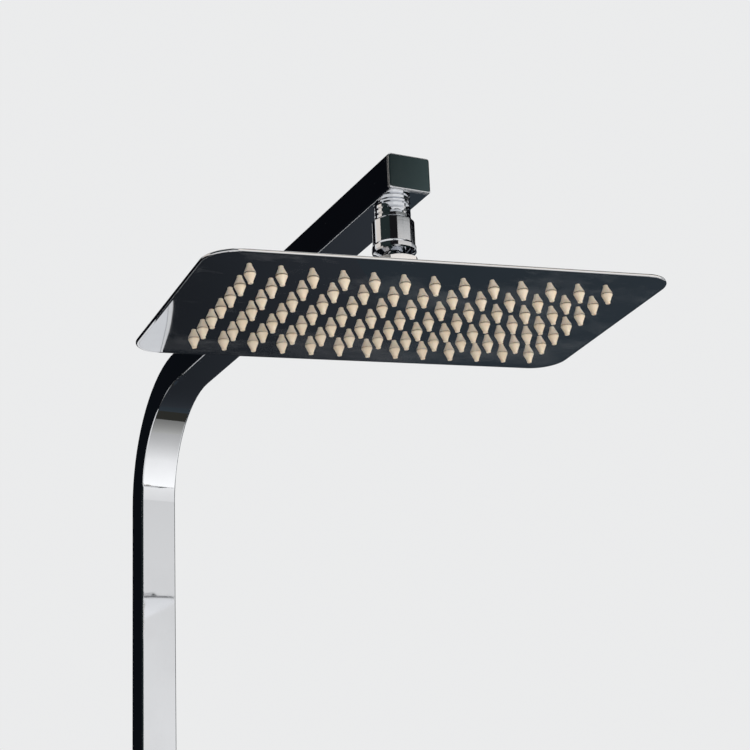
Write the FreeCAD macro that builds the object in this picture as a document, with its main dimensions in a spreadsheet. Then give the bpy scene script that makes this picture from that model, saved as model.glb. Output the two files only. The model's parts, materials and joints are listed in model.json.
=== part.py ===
import FreeCAD, Part
import math
import os

import Sketcher
from FreeCAD import Placement, Rotation, Vector

# A wall-hung shower column. One rectangular tube rises from a bar mixer, bends forward into a
# level arm and carries a thin rectangular rain head on a ball joint.
#
# Frame: millimetres, +Z up, the wall is the plane Y = 0 and the room is on its -Y side, +X is to
# the right of somebody who faces the wall. The origin is midway between the two wall unions.

os.makedirs("parts", exist_ok=True)
doc = FreeCAD.newDocument("shower_column")

# ---------------------------------------------------------------- driving dimensions

DIMENSIONS = {
    # the bent tube
    "tube_width": 28.5,
    "tube_depth": 24.0,
    "tube_wall": 1.5,
    "tube_corner": 1.6,
    "tube_centre": 52.0,         # from the wall to the tube's centre line
    "arm_height": 1048.0,        # from the mixer's axis to the underside of the arm
    "bend_radius": 76.0,         # inner face of the bend
    "arm_reach": 463.0,          # from the column's front face to the tip of the arm
    "outlet_inset": 26.0,        # from the tip of the arm to the outlet's axis
    "cap_plate": 2.0,
    "cap_plug": 9.0,
    "cap_gap": 0.1,
    "corner_share": 0.6,         # how much of a wall's inset its inner corner loses
    "cap_chamfer": 0.7,
    # the threaded outlet under the arm
    "thread_half": 10.48,        # outside radius of a G 1/2 thread
    "thread_three_quarter": 13.22,
    "thread_gap": 0.12,
    "nipple_collar_radius": 11.9,
    "nipple_collar": 1.0,
    "ridge_radius": 11.5,
    "ridge_groove": 10.1,
    "ridge_pitch": 3.35,
    "ridge_count": 3,
    "nipple_thread": 11.8,
    "nipple_bore": 6.5,
    "nipple_proud": 1.5,         # inside the tube
    "nipple_root": 8.5,         # the part that is brazed in the tube
    # the ball joint
    "ball_drop": 47.0,           # from the arm's underside to the ball's centre
    "ball_radius": 10.0,
    "ball_bore": 3.6,
    "neck_radius": 5.5,
    "collar_low": 12.0,          # heights on the stem are above the ball's centre
    "collar_wide": 14.6,
    "collar_top": 19.4,
    "collar_lip": 7.6,
    "collar_radius": 14.1,
    "sleeve_radius": 13.5,
    "sleeve_top": 35.6,
    "socket_floor": 20.4,
    "screen_thickness": 0.4,
    "limiter_thickness": 1.5,
    "limiter_bore": 2.0,
    "disc_gap": 0.05,
    "screen_hole": 0.55,
    "screen_pitch": 1.7,
    "screen_rings": 4,
    "seat_gap": 0.25,
    "seat_thickness": 1.0,
    "upper_seat_low": 5.0,       # latitudes on the ball, in degrees
    "upper_seat_high": 37.0,
    "lower_seat_low": -52.0,
    "lower_seat_high": -22.0,
    "nut_flats": 30.0,
    "nut_top": 9.5,
    "nut_foot": -12.0,
    "nut_opening": 8.4,
    "nut_face": 13.6,
    "nut_split": -0.4,           # the nut's inside step, just under the ball's equator
    "boss_thread": 13.2,
    # the rain head
    "head_length": 300.0,
    "head_depth": 174.0,
    "head_corner": 20.0,
    "head_drop": 27.0,           # from the ball's centre down to the rim's lower edge
    "head_yaw": -4.0,            # the angles at which the head hangs in use
    "head_rock": -3.0,
    "rim_height": 2.0,
    "rim_lip": 2.0,
    "rim_round": 0.8,
    "pan_border": 13.0,
    "pan_rise": 7.4,
    "pan_sheet": 0.9,
    "pan_slope": 45.0,
    "pan_top_round": 2.4,
    "boss_flange": 21.0,
    "boss_foot": 15.0,
    "boss_bore": 6.6,
    "face_sheet": 1.0,
    "face_gap": 0.08,
    "face_crown": 3.0,
    "nozzle_pitch_long": 19.4,
    "nozzle_pitch_deep": 18.7,
    "nozzle_columns": 13,
    "nozzle_rows": 7,
    "nozzle_hole": 2.9,
    "nozzle_neck": 2.8,
    "nozzle_base": 3.5,
    "nozzle_shoulder": 3.2,
    "nozzle_tip": 1.55,
    "nozzle_length": 6.0,
    "nozzle_tip_length": 1.1,
    "nozzle_lift": 0.18,         # between the plate's underside and a nozzle's shoulder
    "nozzle_bore": 0.55,
    "mat_web": 1.2,
    "mat_margin": 13.5,
    # the foot of the column
    "foot_height": 50.0,         # from the mixer's axis up to the tube's cut end
    "spigot_plate": 2.0,
    "spigot_plug": 14.0,
    "spigot_neck": 9.2,
    "spigot_bore": 6.5,
    "spigot_flange": 12.4,
    "spigot_flange_height": 2.5,
    "port_height": 12.0,
    "port_bore": 7.0,
    "riser_nut_radius": 17.0,
    "riser_nut_height": 20.0,
    "riser_seal_height": 2.0,
    # the bar mixer
    "mixer_length": 184.0,
    "mixer_height": 42.0,
    "mixer_deep": 42.0,
    "mixer_corner": 4.0,
    "union_pitch": 150.0,
    "union_offset": 8.0,         # how far the unions lift the mixer above the wall threads
    "union_thread": 14.0,
    "union_collar": 6.0,
    "union_collar_radius": 14.5,
    "union_nose": 12.0,
    "union_bore": 7.5,
    "union_seal_height": 2.2,
    "inlet_flange": 12.4,
    "inlet_flange_height": 2.5,
    "inlet_neck": 10.0,
    "union_nut_flats": 31.0,
    "union_nut_height": 18.0,
    "union_nut_lip": 3.2,
    "cover_side": 62.0,
    "cover_height": 12.0,
    "cover_corner": 5.0,
    "cover_sheet": 1.2,
    "cover_hole": 18.4,
    "wall_gap": 0.2,             # between the wall and a cover's edge
    "valve_length": 15.0,
    "valve_radius": 7.3,
    "gallery_bore": 3.5,
    "gallery_shift": 9.5,
    "chamber_bore": 14.5,
    "chamber_depth": 41.0,
    # the controls at the mixer's two ends
    "cartridge_radius": 12.2,
    "cartridge_length": 36.0,
    "cartridge_depth": 5.0,      # from the mixer's end face to the cartridge's face
    "cartridge_ring": 14.3,
    "cartridge_ring_height": 4.0,
    "spindle_radius": 4.5,
    "spindle_gap": 0.06,
    "spindle_inside": 16.0,
    "spindle_outside": 19.0,
    "spindle_shoulder": 7.0,
    "gland_radius": 14.3,
    "gland_proud": 4.5,
    "gland_collar": 12.0,
    "gland_flange": 17.5,
    "gland_bore": 7.6,
    "knob_side": 38.0,
    "knob_corner": 6.0,
    "knob_length": 34.0,
    "knob_edge": 1.2,
    "knob_clearance": 1.0,
    "knob_skirt": 14.0,
    "knob_skirt_bore": 18.0,
    "screw_radius": 2.0,
    "screw_length": 10.0,
    "screw_head": 3.6,
    "screw_head_height": 2.4,
    "screw_socket": 1.4,
    "knob_cap_radius": 8.0,
    "knob_cap_height": 1.6,
    "knob_cap_clip": 3.0,
    "hub_room": 0.6,             # over the spindle's end
    "hub_web": 2.0,              # what the screw's head pulls on
    "grip_depth": 1.2,
    "grip_width": 1.6,
    "grip_length": 26.6,
    "grip_pitch": 3.5,
    "grip_start": 6.0,           # from the knob's face to the first groove
    "grip_count": 5,
    "button_wide": 8.0,
    "button_long": 11.0,
    "button_proud": 2.2,
    "button_stem": 1.6,
    "button_seat": 7.8,
    "button_gap": 0.2,
    "button_place": 20.0,        # from the knob's inner face
    "spring_wire": 0.25,
    "spring_radius": 2.4,
    "spring_turns": 4,
    "spring_height": 4.2,
    # the outlet for a hand-shower hose
    "hose_thread": 10.0,
    "hose_collar": 5.0,
    "hose_flats": 24.0,
    "hose_root": 9.0,
    "hose_bore": 5.5,
    # the wall bracket
    "bracket_height": 600.0,
    "bracket_side": 50.0,
    "bracket_sheet": 4.0,
    "bracket_corner": 3.0,
    "bracket_hole": 2.6,
    "bracket_hole_pitch": 36.0,
    "bracket_spigot": 6.0,
    "bracket_spigot_length": 12.0,
    "post_side": 20.0,
    "post_corner": 2.0,
    "post_gap": 0.3,
    "stud_radius": 4.0,
    "stud_length": 10.0,
    "bracket_cover_side": 58.0,
    "bracket_cover_height": 12.0,
    "grub_radius": 2.0,
}

sheet = doc.addObject("Spreadsheet::Sheet", "dims")
for row, (alias, number) in enumerate(DIMENSIONS.items(), start=1):
    sheet.set(f"A{row}", alias)
    sheet.set(f"B{row}", str(number))
    sheet.setAlias(f"B{row}", alias)
doc.recompute()


class Size:
    """A length or angle: the sheet's expression for it, and the number that it comes to."""

    def __init__(self, text, number):
        self.text = text
        self.number = number

    def join(self, other, sign, number):
        return Size(f"({self.text} {sign} {size(other).text})", number)

    def __add__(self, other):
        return self.join(other, "+", self.number + size(other).number)

    def __sub__(self, other):
        return self.join(other, "-", self.number - size(other).number)

    def __mul__(self, other):
        return self.join(other, "*", self.number * size(other).number)

    def __truediv__(self, other):
        return self.join(other, "/", self.number / size(other).number)

    def __neg__(self):
        return size(0) - self


def size(thing):
    return thing if isinstance(thing, Size) else Size(str(thing), float(thing))


def dim(alias):
    return Size(f"dims.{alias}", float(sheet.get(alias)))


def count(alias):
    return int(sheet.get(alias))


# ---------------------------------------------------------------- ways to make a piece


def bind(thing, **sizes):
    for name, value in sizes.items():
        thing.setExpression(name, size(value).text)


def place(thing, at=(0, 0, 0), turn=None):
    """Puts a piece at a point of the sheet's sizes, turned by a fixed rotation."""
    thing.Placement = Placement(Vector(*[size(c).number for c in at]), turn or Rotation())
    for letter, coordinate in zip("xyz", at):
        thing.setExpression(f"Placement.Base.{letter}", size(coordinate).text)
    return thing


def named(thing, label):
    thing.Label = label
    return thing


def box(name, sizes, at=(0, 0, 0)):
    """A box that stands on its place, centred over it in X and Y."""
    thing = doc.addObject("Part::Box", name)
    bind(thing, Length=sizes[0], Width=sizes[1], Height=sizes[2])
    corner = (size(at[0]) - size(sizes[0]) / 2, size(at[1]) - size(sizes[1]) / 2, at[2])
    return place(thing, corner)


def cylinder(name, radius, height, at=(0, 0, 0), turn=None):
    thing = doc.addObject("Part::Cylinder", name)
    bind(thing, Radius=radius, Height=height)
    return place(thing, at, turn)


def ball(name, radius, low=-90, high=90):
    """A ball, or the slice of one between two latitudes."""
    thing = doc.addObject("Part::Sphere", name)
    bind(thing, Radius=radius, Angle1=low, Angle2=high)
    return thing


def hexagon(name, flats, height, at=(0, 0, 0)):
    thing = doc.addObject("Part::Prism", name)
    thing.Polygon = 6
    bind(thing, Circumradius=size(flats) * HEXAGON_CORNER, Height=height)
    return place(thing, at)


def cut(label, base, *tools):
    thing = doc.addObject("Part::Cut", label)
    thing.Base = base
    thing.Tool = tools[0] if len(tools) == 1 else fuse(label + "_tools", *tools)
    return named(thing, label)


def fuse(label, *shapes):
    thing = doc.addObject("Part::MultiFuse", label)
    thing.Shapes = list(shapes)
    return named(thing, label)


def common(label, *shapes):
    thing = doc.addObject("Part::MultiCommon", label)
    thing.Shapes = list(shapes)
    return named(thing, label)


def origin_plane(body, role):
    return next(f for f in body.Origin.OriginFeatures if f.Role == role)


def new_sketch(body, name, role="XY_Plane", lift=None):
    sketch = body.newObject("Sketcher::SketchObject", name)
    sketch.AttachmentSupport = [(origin_plane(body, role), "")]
    sketch.MapMode = "FlatFace"
    if lift is not None:
        sketch.setExpression("AttachmentOffset.Base.z", size(lift).text)
    return sketch


def outline(sketch, points):
    """Closed straight outline whose corners are all dimensioned from the sketch's origin."""
    points = [(size(u), size(v)) for u, v in points]
    first = sketch.GeometryCount
    last = first + len(points) - 1
    for index, (u, v) in enumerate(points):
        next_u, next_v = points[(index + 1) % len(points)]
        start, end = Vector(u.number, v.number), Vector(next_u.number, next_v.number)
        sketch.addGeometry(Part.LineSegment(start, end), False)
    for side in range(first, last + 1):
        following = first if side == last else side + 1
        sketch.addConstraint(Sketcher.Constraint("Coincident", side, 2, following, 1))
    for side, (u, v) in enumerate(points, start=first):
        for kind, value in (("DistanceX", u), ("DistanceY", v)):
            rule = sketch.addConstraint(Sketcher.Constraint(kind, -1, 1, side, 1, value.number))
            sketch.setExpression(f"Constraints[{rule}]", value.text)


def circle(sketch, radius, u=0, v=0):
    u, v, radius = size(u), size(v), size(radius)
    round_edge = Part.Circle(Vector(u.number, v.number), Vector(0, 0, 1), radius.number)
    index = sketch.addGeometry(round_edge, False)
    rule = sketch.addConstraint(Sketcher.Constraint("Radius", index, radius.number))
    sketch.setExpression(f"Constraints[{rule}]", radius.text)
    for kind, value in (("DistanceX", u), ("DistanceY", v)):
        rule = sketch.addConstraint(Sketcher.Constraint(kind, -1, 1, index, 3, value.number))
        sketch.setExpression(f"Constraints[{rule}]", value.text)


def rounded_rectangle(sketch, wide, deep, corner):
    """Rectangle about the sketch's origin, with four equal round corners."""
    half_u, half_v, corner = size(wide) / 2, size(deep) / 2, size(corner)
    u, v, r = half_u.number, half_v.number, corner.number
    sides = [((r - u, -v), (u - r, -v)), ((u, r - v), (u, v - r)),
             ((u - r, v), (r - u, v)), ((-u, v - r), (-u, r - v))]
    centres = [(u - r, r - v), (u - r, v - r), (r - u, v - r), (r - u, r - v)]
    first = sketch.GeometryCount
    for start, end in sides:
        sketch.addGeometry(Part.LineSegment(Vector(*start), Vector(*end)), False)
    for quarter, centre in enumerate(centres):
        begin = (quarter - 1) * math.pi / 2
        whole = Part.Circle(Vector(*centre), Vector(0, 0, 1), r)
        sketch.addGeometry(Part.ArcOfCircle(whole, begin, begin + math.pi / 2), False)
    for side in range(4):
        arc = first + 4 + side
        following = first + (side + 1) % 4
        sketch.addConstraint(Sketcher.Constraint("Tangent", first + side, 2, arc, 1))
        sketch.addConstraint(Sketcher.Constraint("Tangent", arc, 2, following, 1))
        sketch.addConstraint(Sketcher.Constraint("Vertical" if side % 2 else "Horizontal",
                                                 first + side))
        rule = sketch.addConstraint(Sketcher.Constraint("Radius", arc, r))
        sketch.setExpression(f"Constraints[{rule}]", corner.text)
    reach = ((0, "DistanceY", -half_v), (1, "DistanceX", half_u),
             (2, "DistanceY", half_v), (3, "DistanceX", -half_u))
    for side, kind, value in reach:
        rule = sketch.addConstraint(Sketcher.Constraint(kind, -1, 1, first + side, 1, value.number))
        sketch.setExpression(f"Constraints[{rule}]", value.text)


def new_body(label):
    return named(doc.addObject("PartDesign::Body", label), label)


def feature(body, kind, name, profile, **settings):
    thing = body.newObject("PartDesign::" + kind, name)
    thing.Profile = profile
    for key, value in settings.items():
        if isinstance(value, Size):
            thing.setExpression(key, value.text)
        else:
            setattr(thing, key, value)
    return thing


def turned(label, points):
    """A turned piece: an outline of (radius, height) points swept about the Z axis."""
    body = new_body(label)
    sketch = new_sketch(body, label + "_profile", "XZ_Plane")
    outline(sketch, points)
    feature(body, "Revolution", label + "_turn", sketch,
            ReferenceAxis=(sketch, ["V_Axis"]), Angle=360.0)
    return body


def ring(label, inner, outer, low, high):
    return turned(label, [(inner, low), (outer, low), (outer, high), (inner, high)])


def slab(label, wide, deep, corner, height, lift=0):
    """A plate with round corners, centred over the Z axis."""
    body = new_body(label)
    sketch = new_sketch(body, label + "_outline", lift=lift)
    rounded_rectangle(sketch, wide, deep, corner)
    feature(body, "Pad", label + "_pad", sketch, Length=size(height))
    return body


def edges_at(shape, test):
    return [f"Edge{number}" for number, edge in enumerate(shape.Edges, start=1) if test(edge)]


def dress(body, kind, name, amount_name, amount, test):
    """Rounds or bevels the edges of a body that pass a test."""
    doc.recompute()
    base = body.Tip
    thing = body.newObject("PartDesign::" + kind, name)
    thing.Base = (base, edges_at(base.Shape, test))
    thing.setExpression(amount_name, size(amount).text)
    return thing


def level(edge, height, within=0.01):
    """True for an edge that lies flat at a height."""
    bounds = edge.BoundBox
    return abs(bounds.ZMin - height) < within and abs(bounds.ZMax - height) < within


def node_shape(label, shape, base=None):
    """A piece whose form comes from a formula, kept with its own placement."""
    thing = named(doc.addObject("Part::Feature", label), label)
    thing.Shape = shape
    thing.Placement = base or Placement()
    return thing


NODES = []


def node(thing, at=None, turn=None):
    """Lists a finished sub-part, and puts it in its place."""
    if at is not None:
        place(thing, at, turn)
    NODES.append(thing)
    return thing


# ---------------------------------------------------------------- places that several pieces share

centre_y = -dim("tube_centre")
front_y = centre_y - dim("tube_depth") / 2
mixer_z = dim("union_offset")
arm_z = mixer_z + dim("arm_height")
tip_y = front_y - dim("arm_reach")
outlet_y = tip_y + dim("outlet_inset")
ball_place = (size(0), outlet_y, arm_z - dim("ball_drop"))
head_turn = Rotation(Vector(0, 0, 1), dim("head_yaw").number)
head_turn = head_turn * Rotation(Vector(0, 1, 0), dim("head_rock").number)
to_room = Rotation(Vector(1, 0, 0), 90)
to_wall = Rotation(Vector(1, 0, 0), -90)
wall_inset = dim("tube_wall") + dim("cap_gap")
port_top = dim("mixer_height") / 2 + dim("port_height")
HEXAGON_CORNER = 1 / math.sqrt(3.0)      # a hexagon's corner radius, as a share of its flats

# ---------------------------------------------------------------- the bent tube and its cap


def riser_tube():
    """The rectangular tube: column, bend and arm in one piece, with its water hole."""
    body = new_body("riser_tube")
    path = new_sketch(body, "riser_path", "YZ_Plane")
    centre_radius = dim("bend_radius") + dim("tube_depth") / 2
    foot = mixer_z + dim("foot_height")
    arm_centre = arm_z + dim("tube_depth") / 2
    bend_z = arm_centre - centre_radius
    bend_y = centre_y - centre_radius
    end_y = tip_y + dim("cap_plate")
    along = [Vector(centre_y.number, foot.number), Vector(centre_y.number, bend_z.number),
             Vector(bend_y.number, arm_centre.number), Vector(end_y.number, arm_centre.number)]
    path.addGeometry(Part.LineSegment(along[0], along[1]), False)
    whole = Part.Circle(Vector(bend_y.number, bend_z.number), Vector(0, 0, 1), centre_radius.number)
    path.addGeometry(Part.ArcOfCircle(whole, 0.0, math.pi / 2), False)
    path.addGeometry(Part.LineSegment(along[2], along[3]), False)
    path.addConstraint(Sketcher.Constraint("Tangent", 0, 2, 1, 1))
    path.addConstraint(Sketcher.Constraint("Tangent", 1, 2, 2, 1))
    path.addConstraint(Sketcher.Constraint("Vertical", 0))
    path.addConstraint(Sketcher.Constraint("Horizontal", 2))
    rules = (("DistanceX", 0, 1, centre_y), ("DistanceY", 0, 1, foot), ("DistanceY", 2, 2, arm_centre),
             ("DistanceX", 2, 2, end_y))
    for kind, line, point, value in rules:
        rule = path.addConstraint(Sketcher.Constraint(kind, -1, 1, line, point, value.number))
        path.setExpression(f"Constraints[{rule}]", value.text)
    rule = path.addConstraint(Sketcher.Constraint("Radius", 1, centre_radius.number))
    path.setExpression(f"Constraints[{rule}]", centre_radius.text)

    def section(name, shrink):
        sketch = new_sketch(body, name, lift=foot)
        sketch.setExpression("AttachmentOffset.Base.y", centre_y.text)
        rounded_rectangle(sketch, dim("tube_width") - shrink * 2, dim("tube_depth") - shrink * 2,
                          dim("tube_corner") - shrink * dim("corner_share"))
        return sketch

    for kind, name, shrink in (("AdditivePipe", "outside", size(0)),
                               ("SubtractivePipe", "inside", dim("tube_wall"))):
        pipe = feature(body, kind, "riser_" + name, section("riser_section_" + name, shrink))
        pipe.Spine = (path, ["Edge1", "Edge2", "Edge3"])
    hole = new_sketch(body, "riser_water_hole", lift=arm_z - 1)
    circle(hole, dim("nipple_root") + dim("cap_gap"), 0, outlet_y)
    feature(body, "Pocket", "riser_hole", hole, Length=dim("tube_wall") + 2, Reversed=True)
    return body


def tube_plug(label, height, lift):
    """A block that fills the tube's mouth."""
    return slab(label, dim("tube_width") - wall_inset * 2, dim("tube_depth") - wall_inset * 2,
                dim("tube_corner") - wall_inset * dim("corner_share"), height, lift)


def arm_end_cap():
    """Flat cap whose plug fills the mouth of the arm."""
    plate = slab("cap_face", dim("tube_width"), dim("tube_depth"), dim("tube_corner"),
                 dim("cap_plate"))
    dress(plate, "Chamfer", "cap_bevel", "Size", dim("cap_chamfer"),
          lambda edge: level(edge, dim("cap_plate").number))
    plug = tube_plug("cap_plug", dim("cap_plug"), -dim("cap_plug"))
    return fuse("arm_end_cap", plate, plug)


node(riser_tube())
node(arm_end_cap(), (0, tip_y + dim("cap_plate"), arm_z + dim("tube_depth") / 2), to_room)

# ---------------------------------------------------------------- the outlet under the arm


def outlet_nipple():
    """Collar, ridged neck and G 1/2 thread, made about the ball's centre."""
    top = dim("ball_drop")
    collar_low = top - dim("nipple_collar")
    ridges_low = dim("sleeve_top") + 0.3
    thread_low = dim("sleeve_top") - dim("nipple_thread")
    bore, root = dim("nipple_bore"), dim("nipple_root")
    root_top = top + dim("tube_wall") + dim("nipple_proud")
    ridge, groove = dim("ridge_radius"), dim("ridge_groove")
    points = [(bore, thread_low), (dim("thread_half"), thread_low), (dim("thread_half"), ridges_low)]
    for number in range(count("ridge_count")):
        low = ridges_low + dim("ridge_pitch") * number
        high = low + dim("ridge_pitch")
        points += [(groove + 0.2, low), (ridge, low + dim("ridge_pitch") * 0.22),
                   (ridge, high - dim("ridge_pitch") * 0.22), (groove, high)]
    points += [(groove, collar_low), (dim("nipple_collar_radius"), collar_low + 0.5),
               (dim("nipple_collar_radius"), top), (root, top), (root, root_top), (bore, root_top)]
    return turned("outlet_nipple", points)


def ball_stem():
    """Sleeve with its G 1/2 socket, bevelled collar, neck and drilled ball."""
    thread = dim("thread_half") + dim("thread_gap")
    floor = dim("socket_floor")
    stem = turned("ball_stem_shank", [
        (dim("ball_bore"), 0), (dim("neck_radius"), 0), (dim("neck_radius"), dim("collar_low")),
        (dim("collar_lip"), dim("collar_low")), (dim("collar_radius") - 0.8, dim("collar_wide") - 0.3),
        (dim("collar_radius"), dim("collar_wide") + 0.6), (dim("collar_radius"), dim("collar_top") - 1.4),
        (dim("collar_radius") - 0.4, dim("collar_top") - 0.4), (dim("sleeve_radius"), dim("collar_top")),
        (dim("sleeve_radius"), dim("sleeve_top") - 0.8), (dim("sleeve_radius") - 0.8, dim("sleeve_top")),
        (thread, dim("sleeve_top")), (thread, floor), (dim("ball_bore"), floor)])
    whole = fuse("ball_stem_blank", stem, ball("stem_ball", dim("ball_radius")))
    bore = cylinder("stem_bore", dim("ball_bore"), dim("ball_radius") * 2 + 4,
                    (0, 0, -dim("ball_radius") - 2))
    return cut("ball_stem", whole, bore)


def filter_screen(low):
    """Perforated disc: rings of small holes about its middle."""
    radius = dim("thread_half").number - 0.4
    plate = Part.makeCylinder(radius, dim("screen_thickness").number, Vector(0, 0, low.number))
    holes = []
    for ring_number in range(count("screen_rings")):
        reach = ring_number * dim("screen_pitch").number
        for index in range(max(1, 6 * ring_number)):
            angle = 2 * math.pi * index / max(1, 6 * ring_number)
            spot = Vector(reach * math.cos(angle), reach * math.sin(angle), low.number - 1)
            holes.append(Part.makeCylinder(dim("screen_hole").number, 3, spot))
    return node_shape("filter_screen", plate.cut(holes))


disc_radius = dim("thread_half") - 0.2
limiter_low = dim("socket_floor") + dim("disc_gap")
screen_low = limiter_low + dim("limiter_thickness") + dim("disc_gap")
seal_low = screen_low + dim("screen_thickness") + dim("disc_gap")

node(outlet_nipple(), ball_place)
node(ball_stem(), ball_place)
node(ring("flow_limiter", dim("limiter_bore"), disc_radius, limiter_low,
          limiter_low + dim("limiter_thickness")), ball_place)
node(filter_screen(screen_low), ball_place)
node(ring("nipple_seal", dim("nipple_bore") - 0.2, disc_radius, seal_low,
          dim("sleeve_top") - dim("nipple_thread") - dim("disc_gap")), ball_place)

# ---------------------------------------------------------------- the ball joint's seats and nut

seat_inner = dim("ball_radius") + dim("seat_gap")
seat_outer = seat_inner + dim("seat_thickness")
cavity = seat_outer + dim("seat_gap")
yaw_turn = Rotation(Vector(0, 0, 1), dim("head_yaw").number)


def seat(label, low, high):
    """A slice of a hollow sphere that lines the socket."""
    outer = ball(label + "_outside", seat_outer, low, high)
    return cut(label, outer, ball(label + "_inside", seat_inner))


def ball_nut():
    """Hexagon nut with a bevelled top, whose inside closes over the upper seat."""
    top, foot = dim("nut_top"), dim("nut_foot")
    corner = dim("nut_flats") * HEXAGON_CORNER
    drop = (corner - dim("nut_face")) * math.tan(math.radians(30))
    skirt = dim("boss_thread") + dim("thread_gap")
    blank = turned("nut_turning", [
        (0, foot), (corner - 0.6, foot), (corner + 0.2, foot + 0.6), (corner + 0.2, top - drop),
        (dim("nut_face"), top), (0, top)])
    solid = common("nut_blank", blank, hexagon("nut_hexagon", dim("nut_flats"), top - foot, (0, 0, foot)))
    opening = cylinder("nut_opening_bore", dim("nut_opening"), top * 2)
    thread = cylinder("nut_skirt_bore", skirt, dim("nut_split") - foot + 1, (0, 0, foot - 1))
    return cut("ball_nut", solid, opening, thread, ball("nut_cavity", cavity))


def head_boss():
    """Threaded boss with the lower half of the socket, on a conical foot."""
    top = dim("nut_split") - 0.1
    pan_top = -dim("head_drop") + dim("rim_height") + dim("pan_rise")
    foot = pan_top - dim("pan_sheet") - 1.5
    thread = dim("boss_thread")
    blank = turned("boss_turning", [
        (dim("boss_bore"), foot), (dim("boss_foot"), foot), (dim("boss_foot"), pan_top + 0.02),
        (dim("boss_flange"), pan_top + 0.02),
        (dim("boss_flange"), pan_top + 0.8), (thread + 2.6, dim("nut_foot") - 0.3),
        (thread, dim("nut_foot") - 0.3), (thread, top), (dim("boss_bore"), top)])
    return cut("head_boss", blank, ball("boss_cavity", cavity))


node(seat("upper_seat", dim("upper_seat_low"), dim("upper_seat_high")), ball_place)
node(seat("lower_seat", dim("lower_seat_low"), dim("lower_seat_high")), ball_place, yaw_turn)
node(ball_nut(), ball_place, head_turn)
node(head_boss(), ball_place, head_turn)

# ---------------------------------------------------------------- the rain head

rim_low = -dim("head_drop")
rim_high = rim_low + dim("rim_height")
face_length = dim("head_length") - dim("rim_lip") * 2 - dim("face_gap") * 2
face_depth = dim("head_depth") - dim("rim_lip") * 2 - dim("face_gap") * 2
face_corner = dim("head_corner") - dim("rim_lip") - dim("face_gap")
field_length = dim("head_length") - dim("pan_border") * 2
field_depth = dim("head_depth") - dim("pan_border") * 2
field_corner = dim("head_corner") - dim("pan_border") * 0.35


def head_pan():
    """Upper shell: a flat border with a rolled rim, and a raised middle over the water."""
    body = slab("head_pan", dim("head_length"), dim("head_depth"), dim("head_corner"),
                dim("rim_height"), lift=rim_low)
    dress(body, "Fillet", "rim_rounding", "Radius", dim("rim_round"),
          lambda edge: level(edge, rim_low.number) or level(edge, rim_high.number))
    raised = new_sketch(body, "pan_raised_outline", lift=rim_high)
    rounded_rectangle(raised, field_length, field_depth, field_corner)
    feature(body, "Pad", "pan_raised", raised, Length=dim("pan_rise"), TaperAngle=-dim("pan_slope"))
    dress(body, "Fillet", "pan_top_rounding", "Radius", dim("pan_top_round"),
          lambda edge: level(edge, (rim_high + dim("pan_rise")).number))
    inset = dim("pan_sheet") * 2
    recess = new_sketch(body, "pan_face_recess", lift=rim_low)
    rounded_rectangle(recess, face_length + dim("face_gap") * 2, face_depth + dim("face_gap") * 2,
                      face_corner + dim("face_gap"))
    feature(body, "Pocket", "pan_recess", recess, Reversed=True,
            Length=dim("rim_height") - dim("pan_sheet"))
    inside = new_sketch(body, "pan_chamber_outline", lift=rim_high - dim("pan_sheet"))
    rounded_rectangle(inside, field_length - inset * 0.4, field_depth - inset * 0.4,
                      field_corner - 0.5)
    feature(body, "Pocket", "pan_chamber", inside, Reversed=True, Length=dim("pan_rise"),
            TaperAngle=-dim("pan_slope"))
    hole = new_sketch(body, "pan_boss_hole", lift=rim_low)
    circle(hole, dim("boss_foot") + 0.1)
    feature(body, "Pocket", "pan_hole", hole, Reversed=True, Length=size(30))
    return body


def crowned_sheet(thickness, lift, shrink=0.0):
    """A sheet whose middle hangs lower than its edges, cut from a quadratic patch."""
    long_side, short_side = face_length.number, face_depth.number
    patch = Part.BezierSurface()
    patch.increase(2, 2)
    for i in range(3):
        for j in range(3):
            sag = -4 * dim("face_crown").number if (i, j) == (1, 1) else 0.0
            patch.setPole(i + 1, j + 1, Vector((i - 1) * long_side / 2, (j - 1) * short_side / 2,
                                               lift + sag))
    sheet_solid = patch.toShape().extrude(Vector(0, 0, thickness))
    return sheet_solid.common(rounded_prism(long_side - shrink * 2, short_side - shrink * 2,
                                            face_corner.number - shrink * 0.4, 60.0))


def rounded_prism(wide, deep, corner, height):
    prism = Part.makeBox(wide, deep, height, Vector(-wide / 2, -deep / 2, -height / 2 - 20))
    upright = [edge for edge in prism.Edges if edge.BoundBox.ZLength > height / 2]
    return prism.makeFillet(corner, upright)


def crown_height(x, y):
    """How far the crowned sheet hangs below its edges at a point."""
    u, v = 2 * x / face_length.number, 2 * y / face_depth.number
    return -dim("face_crown").number * (1 - u * u) * (1 - v * v)


def nozzle_places():
    columns, rows = count("nozzle_columns"), count("nozzle_rows")
    for column in range(columns):
        for line in range(rows):
            x = (column - (columns - 1) / 2) * dim("nozzle_pitch_long").number
            y = (line - (rows - 1) / 2) * dim("nozzle_pitch_deep").number
            yield x, y


def face_plate():
    """The polished underside, one hole for each nozzle."""
    plate = crowned_sheet(dim("face_sheet").number, rim_low.number)
    radius = dim("nozzle_hole").number
    holes = [Part.makeCylinder(radius, 20, Vector(x, y, rim_low.number - 10))
             for x, y in nozzle_places()]
    return node_shape("face_plate", plate.cut(holes))


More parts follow.
